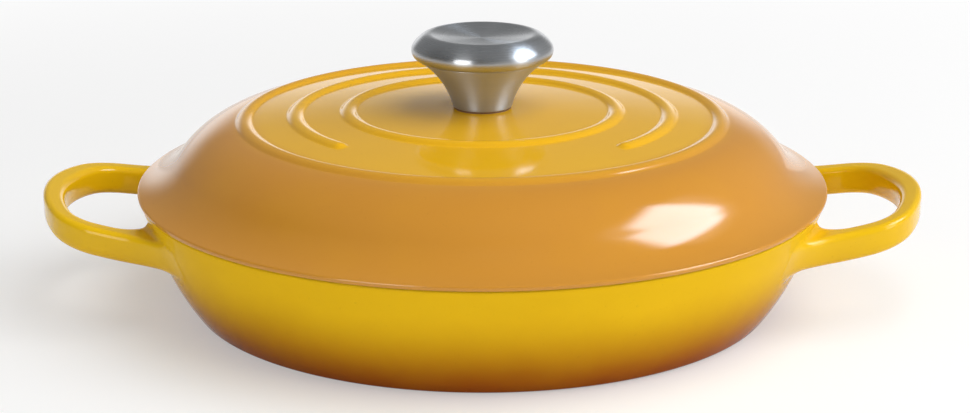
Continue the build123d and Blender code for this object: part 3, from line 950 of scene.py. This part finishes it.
lip_reach = seam_radius - land
lip_level = edge_centre[1] - math.sqrt((edge_round - cap_wall) ** 2 - (lip_reach - edge_reach) ** 2)
outer_start = -math.degrees(math.asin((edge_centre[1] - seam_level) / edge_round))
inner_start = -math.degrees(math.asin((edge_centre[1] - lip_level) / (edge_round - cap_wall)))
dish_way = (-math.cos(dish_turn), -math.sin(dish_turn))
outer_run = cap_run(0, outer_start + 2)
inner_run = cap_run(cap_wall, inner_start)
cap_section = (
    [(lip_reach, seam_level), (seam_radius - seam_chamfer * 2, seam_level)]
    + outer_run
    + leaving_arc(outer_run[-1], dish_way, (0, dish_floor), 16)[1:]
    + leaving_arc(inner_run[-1], dish_way, (0, dish_floor - cap_wall), 10)[::-1]
    + inner_run[::-1][1:]
    + [(lip_reach, seam_level)]
)
for name, section, finish, node in (
    ("knob_stem_turned", stem_section, stem_steel, "knob_stem"),
    ("knob_cap_pressed", cap_section, cap_steel, "knob_cap"),
):
    piece = turned_piece(name, section, finish, 192)
    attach(piece, "lid")
    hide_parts(node)

# %% [markdown]
# ## Small hidden pieces
# The screw, washer, bush and gasket keep the shapes of the fixed model, because those are already right. They
# only need a finish: plain steel for the metal ones, and a matt brown rubber with a faint bloom for the gasket,
# which shows as a thin dark line under the knob's foot.

# %% Dress the small pieces
gasket_rubber, tree, shader, place = plain_material("gasket_rubber")
dust = noise(tree, place, 350.0, 4.0, 0.6)
bloom = blend_colours(tree, calc(tree, "MULTIPLY", dust, 0.5), srgb(104, 74, 42), srgb(140, 104, 62))
feed(tree, shader, {"Base Color": bloom, "Roughness": remap(tree, dust, 0.2, 0.8, 0.6, 0.8, "LINEAR")})
bump(tree, dust, 0.00005, 0.5, shader)
finishes = {node: screw_steel for node in ("knob_screw", "screw_washer", "knob_insert")}
finishes["knob_gasket"] = gasket_rubber
for node, material in finishes.items():
    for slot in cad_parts[node].material_slots:
        slot.material = material
print("dressed:", sorted(finishes))

# %% [markdown]
# ## Studio
# The braiser stands on a plain pale floor that turns white with distance, as a paper sweep does. The studio
# round it could be plain white too, but then the enamel would mirror white from every side and look chalky. So
# it is grey: dark in front, lighter on the right, and bright only low down behind, where the crown and the
# rings mirror it.

# %% Floor
NEAR, FAR, NEAR_WHITE, FAR_WHITE, FLOOR_REACH = 0.25, 0.8, 0.35, 0.95, 6
floor_material, tree, shader, place = plain_material("studio_floor")
paper = noise(tree, place, 6.0, 3.0)
pale = blend_colours(tree, paper, (0.93, 0.93, 0.93, 1), (0.95, 0.95, 0.95, 1))
feed(tree, shader, {"Base Color": pale, "Roughness": 0.9, "Specular IOR Level": 0.0})
seen = tree.nodes.new("ShaderNodeLightPath").outputs
direct = calc(tree, "MAXIMUM", seen["Is Camera Ray"], seen["Is Glossy Ray"])
white = add_node(tree, "ShaderNodeEmission", {"Color": (1, 1, 1, 1), "Strength": 1.0}).outputs[0]
away = add_node(tree, "ShaderNodeVectorMath", {0: place}, operation="LENGTH").outputs["Value"]
lift = calc(tree, "MULTIPLY", direct, remap(tree, away, NEAR, FAR, NEAR_WHITE, FAR_WHITE))
lifted = add_node(tree, "ShaderNodeMixShader", {0: lift, 1: shader.outputs[0], 2: white})
tree.links.new(lifted.outputs[0], tree.nodes["Material Output"].inputs["Surface"])
corners = [(x * FLOOR_REACH, y * FLOOR_REACH, 0) for x, y in ((-1, -1), (1, -1), (1, 1), (-1, 1))]
floor = mesh_piece("floor", corners, [(0, 1, 2, 3)])
floor.data.materials.append(floor_material)
print("floor nodes:", len(tree.nodes))

# %% World
world = bpy.data.worlds.new("studio")
bpy.context.scene.world = world
world.use_nodes = True
sky = world.node_tree
direction = sky.nodes.new("ShaderNodeTexCoord").outputs["Generated"]
aside, back, up = split(sky, direction)
CEILING = 0.26
right_wall = remap(sky, aside, -0.2, 0.8, 0.10, 0.40)
back_wall = remap(sky, back, 0.0, 0.6, 0.12, 0.28)
walls = calc(sky, "MAXIMUM", right_wall, back_wall)
overhead = remap(sky, up, 0.55, 0.9)
level = calc(sky, "ADD", walls, calc(sky, "MULTIPLY", overhead, calc(sky, "SUBTRACT", CEILING, walls)))
behind = remap(sky, back, 0.80, 0.97)
low_down = remap(sky, up, 0.08, 0.28, 1.1, 0.0)
narrow = remap(sky, aside, 0.14, 0.36, 1.0, 0.3)
glow = calc(sky, "MULTIPLY", calc(sky, "MULTIPLY", behind, low_down), narrow)
brightness = calc(sky, "ADD", level, glow)
grey = add_node(sky, "ShaderNodeCombineColor", {0: brightness, 1: brightness, 2: brightness}).outputs[0]
sky.links.new(grey, sky.nodes["Background"].inputs["Color"])
print("world nodes:", len(sky.nodes))


# %% [markdown]
# ## Lamps
# One lamp could do all the lighting, but glaze mirrors each lamp that it sees. So broad soft fills give the
# light and are not mirrored at all, and a soft-edged softbox high on the right and two narrow strips are there
# only to be mirrored, in the lid's flare and the knob. A dim halo round the softbox does both. The softbox is a
# little cool, because its image lies over yellow and should still look white.

# %% Lamps
AIM_HEIGHT = 0.05


def softbox(
    name, bearing, elevation, distance, width, height, radiance, lights=True, mirrored=True, tint=(1, 1, 1), roll=0
):
    """A lamp with soft edges that faces the braiser, with its angles in degrees and its lengths in metres.

    Bearing 0 is in front of the braiser and 90 on its right. A lamp that doesn't light is only mirrored.
    """
    data = bpy.data.lights.new(name, "AREA")
    data.shape = "RECTANGLE"
    data.size, data.size_y = width, height
    data.energy = radiance * width * height * math.pi
    data.color = tint
    data.use_nodes = True
    tree = data.node_tree
    on_lamp = tree.nodes.new("ShaderNodeNewGeometry").outputs["Parametric"]
    across, along, _ = split(tree, on_lamp)
    offsets = [calc(tree, "ABSOLUTE", calc(tree, "SUBTRACT", part, 0.5)) for part in (across, along)]
    fades = [remap(tree, offset, 0.30, 0.5, 1.0, 0.0) for offset in offsets]
    tree.links.new(calc(tree, "MULTIPLY", *fades), tree.nodes["Emission"].inputs["Strength"])
    lamp = placed(name, data)
    lamp.visible_diffuse, lamp.visible_glossy, lamp.visible_camera = lights, mirrored, False
    around, tilt = math.radians(bearing), math.radians(elevation)
    lamp.location = (
        distance * math.cos(tilt) * math.sin(around),
        -distance * math.cos(tilt) * math.cos(around),
        distance * math.sin(tilt) + AIM_HEIGHT,
    )
    facing = Matrix.Rotation(around, 3, "Z") @ Matrix.Rotation(math.pi / 2 - tilt, 3, "X")
    lamp.rotation_euler = (facing @ Matrix.Rotation(math.radians(roll), 3, "Z")).to_euler()
    print(name, "at", [round(v, 2) for v in lamp.location])


COOL = (0.78, 0.92, 1.1)
softbox("key_softbox", 87, 39.5, 1.3, 0.72, 0.74, 11.5, lights=False, tint=COOL, roll=14)
softbox("key_halo", 84, 38, 1.35, 1.3, 0.90, 1.0)
softbox("left_strip", -32, 14, 1.3, 0.70, 1.1, 5.0, lights=False)
softbox("right_strip", 66, 14, 1.4, 0.50, 1.1, 4.5, lights=False)
softbox("overhead_fill", 75, 58, 2.2, 3.2, 3.2, 2.25, mirrored=False)
softbox("right_fill", 50, 18, 2.2, 3.2, 1.8, 0.85, mirrored=False)
softbox("left_fill", -42, 18, 2.2, 3.2, 1.8, 1.15, mirrored=False)

# %% [markdown]
# ## Camera
# The photograph was taken from a little under a metre, slightly above the lid. The lens and the small shift
# put the lid's edge, the rings and the handles where the photograph has them.

# %% Camera
DISTANCE, PITCH, SENSOR = 0.993, math.radians(16.07), 36.0
IMAGE_WIDTH, IMAGE_HEIGHT, FOCAL_PX, AXIS_X, AXIS_Y = 970, 413, 2478.0, 482.4, 183.4
camera_data = bpy.data.cameras.new("camera")
camera_data.sensor_width = SENSOR
camera_data.lens = SENSOR * FOCAL_PX / IMAGE_WIDTH
camera_data.shift_x = (IMAGE_WIDTH / 2 - AXIS_X) / IMAGE_WIDTH
camera_data.shift_y = (AXIS_Y - IMAGE_HEIGHT / 2) / IMAGE_WIDTH
camera = placed("camera", camera_data)
camera.location = (0, -DISTANCE * math.cos(PITCH), pan_height * MM + DISTANCE * math.sin(PITCH))
camera.rotation_euler = (math.pi / 2 - PITCH, 0, 0)
bpy.context.scene.camera = camera
bpy.context.scene.view_settings.view_transform = "Standard"
print("lens", round(camera_data.lens, 1), "mm")
